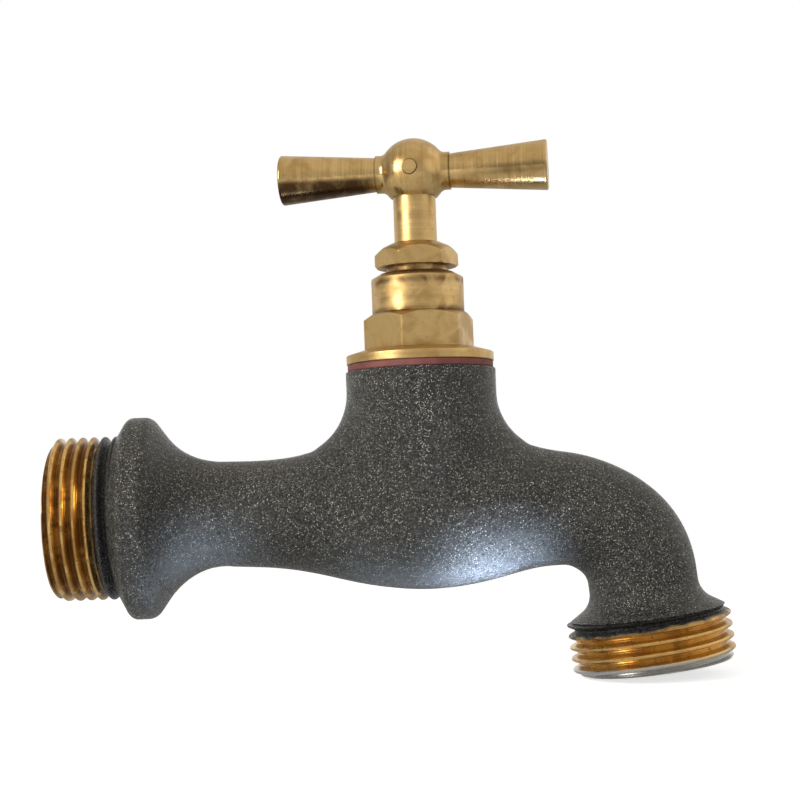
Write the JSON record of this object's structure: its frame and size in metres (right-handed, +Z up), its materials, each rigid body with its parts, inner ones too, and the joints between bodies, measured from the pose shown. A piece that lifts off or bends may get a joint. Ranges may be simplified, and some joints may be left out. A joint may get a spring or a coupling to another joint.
{
  "type": "garden tap",
  "caption": "Garden bib tap: painted cast body with wall flange, threaded inlet and hose outlet, screw-down brass headwork and T handle that turns and lifts the valve.",
  "frame": {"origin": "on the inlet axis, in the plane of the inlet flange's wall face, where the inlet thread ends", "axes": "+X along the inlet axis from the wall towards the spout, +Z up along the headwork, so the tap is seen from its side along +Y"},
  "size_m": [0.1091, 0.0328, 0.0888],
  "materials": {
    "painted_casting": "granular dark grey paint on cast brass",
    "turned_brass": "satin turned brass",
    "handle_brass": "satin forged and turned brass",
    "red_fibre": "pressed red fibre",
    "gland_packing": "waxed packing",
    "black_rubber": "moulded rubber",
    "spring_steel": "spring steel wire"
  },
  "bodies": {
    "tap": {"tap_body": "painted_casting", "bonnet_washer": "red_fibre", "bonnet": "turned_brass", "gland_washer": "turned_brass", "packing_ring_1": "gland_packing", "packing_ring_2": "gland_packing", "gland_nut": "turned_brass"},
    "valve": {"valve_carrier": "turned_brass", "valve_washer": "black_rubber", "valve_screw": "turned_brass", "valve_ring": "spring_steel"},
    "handle": {"spindle": "turned_brass", "handle_hub": "handle_brass", "handle_arm_wall": "handle_brass", "handle_arm_spout": "handle_brass", "handle_pin": "turned_brass"}
  },
  "joints": [
    {"name": "valve_lift", "type": "slide", "parent": "tap", "child": "valve", "axis": [0, 0, 1], "range_m": [0, 0.0044]},
    {"name": "handle_turn", "type": "hinge", "parent": "valve", "child": "handle", "pos_m": [0.04935, 0, 0.0549], "axis": [0, 0, 1], "range_deg": [0, 720]}
  ],
  "couplings": [
    {"joint": "valve_lift", "follows": "handle_turn", "m_per_rad": 0.00035014}
  ]
}
